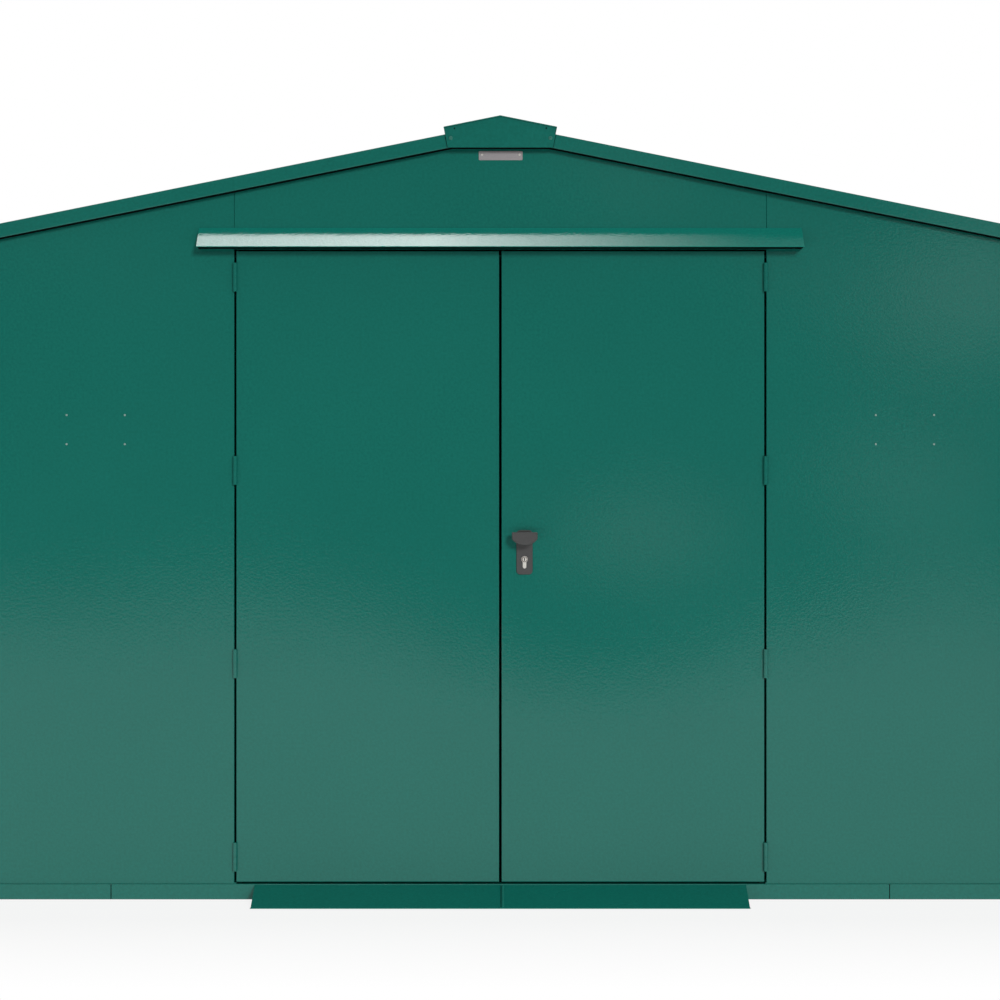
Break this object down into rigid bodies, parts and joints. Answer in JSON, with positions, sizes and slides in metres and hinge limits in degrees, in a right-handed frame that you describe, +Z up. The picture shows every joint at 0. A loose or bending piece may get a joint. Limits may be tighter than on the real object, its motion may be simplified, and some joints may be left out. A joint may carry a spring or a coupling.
{
  "type": "metal storage shed",
  "caption": "Garden storage shed of folded green steel sheet with a low gable roof, double front doors under a rain hood, a turning knob lock and a threshold ramp.",
  "frame": {"origin": "centre of the base frame's footprint, at the ground", "axes": "+X to the right seen from the front, +Y from the front wall to the back wall, +Z up"},
  "size_m": [3.405, 3.5268, 2.2402],
  "materials": {
    "wall_green": "satin",
    "base_green": "satin",
    "ramp_green": "satin",
    "floor_zinc": "satin",
    "lock_grey": "satin",
    "cylinder_nickel": "gloss",
    "case_steel": "satin",
    "hood_green": "satin"
  },
  "bodies": {
    "shed": {"base_front_left": "base_green", "base_front_centre": "base_green", "base_front_right": "base_green", "base_left": "base_green", "base_right": "base_green", "base_back": "base_green", "floor_left": "floor_zinc", "floor_middle": "floor_zinc", "floor_right": "floor_zinc", "ramp_left": "ramp_green", "ramp_right": "ramp_green", "front_wall_left": "wall_green", "front_wall_right": "wall_green", "front_header": "wall_green", "door_post_left": "wall_green", "door_post_right": "wall_green", "door_head": "wall_green", "side_wall_left_front": "wall_green", "side_wall_left_middle": "wall_green", "side_wall_left_rear": "wall_green", "side_wall_right_front": "wall_green", "side_wall_right_middle": "wall_green", "side_wall_right_rear": "wall_green", "back_wall_left": "wall_green", "back_wall_middle": "wall_green", "back_wall_right": "wall_green", "roof_left_front": "wall_green", "roof_left_middle": "wall_green", "roof_left_rear": "wall_green", "roof_right_front": "wall_green", "roof_right_middle": "wall_green", "roof_right_rear": "wall_green", "verge_front_left": "wall_green", "verge_front_right": "wall_green", "verge_back_left": "wall_green", "verge_back_right": "wall_green", "eaves_left": "wall_green", "eaves_right": "wall_green", "ridge_cap": "wall_green", "rain_hood": "hood_green"},
    "left_door": {"door_leaf_left": "wall_green"},
    "right_door": {"door_leaf_right": "wall_green", "lock_plate": "lock_grey", "lock_cylinder": "cylinder_nickel", "lock_case": "case_steel"},
    "knob": {"lock_knob": "lock_grey"}
  },
  "joints": [
    {"name": "left_door_swing", "type": "hinge", "parent": "shed", "child": "left_door", "pos_m": [-0.76, -1.679, 0.952], "axis": [0, 0, -1], "range_deg": [0, 110]},
    {"name": "right_door_swing", "type": "hinge", "parent": "shed", "child": "right_door", "pos_m": [0.76, -1.679, 0.952], "axis": [0, 0, 1], "range_deg": [0, 110]},
    {"name": "lock_knob_turn", "type": "hinge", "parent": "right_door", "child": "knob", "pos_m": [0.0694, -1.6725, 1.035], "axis": [0, 1, 0], "range_deg": [0, 90]}
  ]
}
